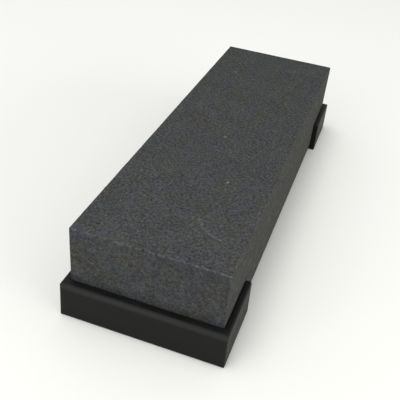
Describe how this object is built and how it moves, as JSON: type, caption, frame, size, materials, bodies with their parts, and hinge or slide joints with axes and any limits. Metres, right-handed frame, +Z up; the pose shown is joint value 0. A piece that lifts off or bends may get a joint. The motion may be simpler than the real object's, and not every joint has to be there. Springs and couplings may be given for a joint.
{
  "type": "sharpening whetstone",
  "caption": "Thick rectangular bench whetstone of dark grey bonded abrasive, its ends seated in black moulded rubber caps that pull off.",
  "frame": {"origin": "middle of the footprint, on the surface that the rubber caps stand on", "axes": "+X across the stone, +Y along the stone from the front cap to the rear cap, +Z up, out of the honing face"},
  "size_m": [0.07, 0.214, 0.042],
  "materials": {
    "abrasive": "coarse matte grain",
    "rubber": "satin moulded"
  },
  "bodies": {
    "stone": {"whetstone_block": "abrasive"},
    "front_cap": {"front_end_cap": "rubber"},
    "rear_cap": {"rear_end_cap": "rubber"}
  },
  "joints": [
    {"name": "front_cap_pull", "type": "slide", "parent": "stone", "child": "front_cap", "axis": [0, -1, 0], "range_m": [0, 0.035]},
    {"name": "rear_cap_pull", "type": "slide", "parent": "stone", "child": "rear_cap", "axis": [0, 1, 0], "range_m": [0, 0.035]}
  ]
}
